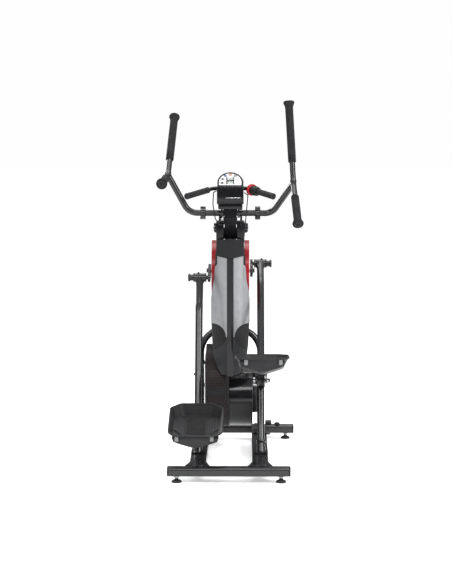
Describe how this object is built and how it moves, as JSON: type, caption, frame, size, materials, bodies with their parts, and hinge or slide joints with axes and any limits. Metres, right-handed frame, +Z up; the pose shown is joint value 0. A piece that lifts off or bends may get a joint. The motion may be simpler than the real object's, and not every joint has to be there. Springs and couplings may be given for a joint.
{
  "type": "vertical climber machine",
  "caption": "Crank-driven vertical climber: tray pedals on legs that roll up steep rails, long swinging handles, fan and disc brake low in front, a small console on top.",
  "frame": {"origin": "on the floor, under the middle of the whole base", "axes": "+Z up, +Y forward the way the user faces, +X to the user's right"},
  "size_m": [0.6338, 1.156, 1.5784],
  "materials": {
    "frame_steel": "semi-gloss powder coat",
    "cover_gloss": "polished mould",
    "cover_matte": "fine mould grain",
    "silver_cover": "metallic silver",
    "lower_grey": "fine mould grain",
    "shroud_red": "metallic red",
    "bare_steel": "turned",
    "cast_alloy": "as cast",
    "fan_paint": "red-brown primer",
    "pedal_plastic": "moulded grain",
    "grip_foam": "closed-cell foam",
    "foot_rubber": "moulded",
    "roller_plastic": "turned",
    "panel_white": "smooth foil",
    "display_glass": "clear",
    "button_orange": "soft",
    "button_dark": "soft",
    "button_blue": "soft"
  },
  "bodies": {
    "frame": {"rear_stabilizer": "frame_steel", "front_stabilizer": "frame_steel", "right_base_rail": "frame_steel", "left_base_rail": "frame_steel", "stabilizer_caps": "cover_matte", "levelling_feet": "foot_rubber", "right_rail": "frame_steel", "left_rail": "frame_steel", "brace_arch": "frame_steel", "mast": "frame_steel", "crank_bearings": "bare_steel", "axles": "bare_steel", "right_shroud": "shroud_red", "left_shroud": "shroud_red", "spine_shell": "cover_matte", "silver_panels": "silver_cover", "spine_ridge": "cover_gloss", "lower_panels": "lower_grey", "collar_cover": "cover_gloss", "front_cover": "cover_matte", "head_cover": "cover_gloss", "fan_grille": "cover_matte", "fan_cover": "cover_gloss", "upper_belt": "foot_rubber", "lower_belt": "foot_rubber", "control_cables": "foot_rubber", "console_housing": "cover_gloss", "console_panel": "panel_white", "display_window": "display_glass", "media_shelf": "cover_matte", "aero_bar": "frame_steel", "aero_grips": "grip_foam"},
    "transport": {"transport_wheels": "roller_plastic"},
    "crank": {"crank_shaft": "bare_steel", "crank_wheel": "cover_matte", "right_crank_arm": "frame_steel", "left_crank_arm": "frame_steel"},
    "idler": {"idler_pulley": "cast_alloy"},
    "fan": {"fan_wheel": "fan_paint"},
    "brake": {"brake_bracket": "bare_steel"},
    "ring": {"resistance_ring": "shroud_red"},
    "right_carriage": {"right_roller_axle": "bare_steel"},
    "right_roller": {"right_roller": "roller_plastic"},
    "right_leg": {"right_leg": "frame_steel", "right_pedal": "pedal_plastic"},
    "right_handle": {"right_handle": "frame_steel", "right_handle_grips": "grip_foam"},
    "right_link": {"right_link": "frame_steel"},
    "left_carriage": {"left_roller_axle": "bare_steel"},
    "left_roller": {"left_roller": "roller_plastic"},
    "left_leg": {"left_leg": "frame_steel", "left_pedal": "pedal_plastic"},
    "left_handle": {"left_handle": "frame_steel", "left_handle_grips": "grip_foam"},
    "left_link": {"left_link": "frame_steel"},
    "start_press": {"start_button": "button_orange"},
    "up_press": {"up_button": "button_dark"},
    "down_press": {"down_button": "button_dark"},
    "mode_press": {"mode_button": "button_blue"},
    "fan_press": {"fan_button": "button_dark"}
  },
  "joints": [
    {"name": "crank_turn", "type": "hinge", "parent": "frame", "child": "crank", "pos_m": [0, 0.245, 0.811], "axis": [1, 0, 0], "range_deg": [-180, 0]},
    {"name": "idler_spin", "type": "hinge", "parent": "frame", "child": "idler", "pos_m": [0, 0.275, 0.6398], "axis": [1, 0, 0], "continuous": true},
    {"name": "fan_spin", "type": "hinge", "parent": "frame", "child": "fan", "pos_m": [0, 0.275, 0.285], "axis": [1, 0, 0], "continuous": true},
    {"name": "transport_roll", "type": "hinge", "parent": "frame", "child": "transport", "pos_m": [0, 0.554, 0.032], "axis": [1, 0, 0], "continuous": true},
    {"name": "right_stride", "type": "slide", "parent": "frame", "child": "right_carriage", "axis": [0, -0.4695, -0.8829], "range_m": [0, 0.20524]},
    {"name": "right_roller_spin", "type": "hinge", "parent": "right_carriage", "child": "right_roller", "pos_m": [0.135, -0.1107, 0.36191], "axis": [1, 0, 0], "continuous": true},
    {"name": "right_leg_sway", "type": "hinge", "parent": "right_carriage", "child": "right_leg", "pos_m": [0.135, -0.1107, 0.36191], "axis": [1, 0, 0], "range_deg": [0, 19.68]},
    {"name": "right_handle_swing", "type": "hinge", "parent": "frame", "child": "right_handle", "pos_m": [0, 0.125, 1.076], "axis": [1, 0, 0], "range_deg": [-34.05, 0]},
    {"name": "right_link_pivot", "type": "hinge", "parent": "right_handle", "child": "right_link", "pos_m": [0.043, 0.21107, 1.10231], "axis": [1, 0, 0], "range_deg": [0, 34.05]},
    {"name": "left_stride", "type": "slide", "parent": "frame", "child": "left_carriage", "axis": [0, 0.4695, 0.8829], "range_m": [0, 0.20524]},
    {"name": "left_roller_spin", "type": "hinge", "parent": "left_carriage", "child": "left_roller", "pos_m": [-0.135, -0.20696, 0.18087], "axis": [1, 0, 0], "continuous": true},
    {"name": "left_leg_sway", "type": "hinge", "parent": "left_carriage", "child": "left_leg", "pos_m": [-0.135, -0.20696, 0.18087], "axis": [1, 0, 0], "range_deg": [-19.68, 0]},
    {"name": "left_handle_swing", "type": "hinge", "parent": "frame", "child": "left_handle", "pos_m": [0, 0.125, 1.076], "axis": [1, 0, 0], "range_deg": [0, 34.05]},
    {"name": "left_link_pivot", "type": "hinge", "parent": "left_handle", "child": "left_link", "pos_m": [-0.043, 0.21107, 1.04969], "axis": [1, 0, 0], "range_deg": [-34.05, 0]},
    {"name": "ring_twist", "type": "hinge", "parent": "frame", "child": "ring", "pos_m": [0.09463, 0.09477, 1.17967], "axis": [-0.5577, 0.8174, 0.1442], "range_deg": [-120, 120]},
    {"name": "brake_lift", "type": "hinge", "parent": "frame", "child": "brake", "pos_m": [0, 0.275, 0.187], "axis": [1, 0, 0], "range_deg": [-6.2, 6.2]},
    {"name": "start_press", "type": "slide", "parent": "frame", "child": "start_press", "axis": [0, 0.766, -0.6428], "range_m": [0, 0.0015], "stiffness_N_per_m": 400},
    {"name": "up_press", "type": "slide", "parent": "frame", "child": "up_press", "axis": [0, 0.766, -0.6428], "range_m": [0, 0.0015], "stiffness_N_per_m": 400},
    {"name": "down_press", "type": "slide", "parent": "frame", "child": "down_press", "axis": [0, 0.766, -0.6428], "range_m": [0, 0.0015], "stiffness_N_per_m": 400},
    {"name": "mode_press", "type": "slide", "parent": "frame", "child": "mode_press", "axis": [0, 0.766, -0.6428], "range_m": [0, 0.0015], "stiffness_N_per_m": 400},
    {"name": "fan_press", "type": "slide", "parent": "frame", "child": "fan_press", "axis": [0, 0.766, -0.6428], "range_m": [0, 0.0015], "stiffness_N_per_m": 400}
  ],
  "couplings": [
    {"joint": "idler_spin", "follows": "crank_turn", "ratio": 3.8333},
    {"joint": "fan_spin", "follows": "crank_turn", "ratio": 8.4333},
    {"joint": "right_stride", "follows": "crank_turn", "m_per_rad": -0.065266},
    {"joint": "right_roller_spin", "follows": "crank_turn", "ratio": -2.8377},
    {"joint": "right_leg_sway", "follows": "crank_turn", "ratio": -0.10908},
    {"joint": "right_handle_swing", "follows": "crank_turn", "ratio": 0.18889},
    {"joint": "right_link_pivot", "follows": "crank_turn", "ratio": -0.18889},
    {"joint": "left_stride", "follows": "crank_turn", "m_per_rad": -0.065266},
    {"joint": "left_roller_spin", "follows": "crank_turn", "ratio": 2.8377},
    {"joint": "left_leg_sway", "follows": "crank_turn", "ratio": 0.10908},
    {"joint": "left_handle_swing", "follows": "crank_turn", "ratio": -0.18889},
    {"joint": "left_link_pivot", "follows": "crank_turn", "ratio": 0.18889},
    {"joint": "brake_lift", "follows": "ring_twist", "ratio": 0.05}
  ]
}
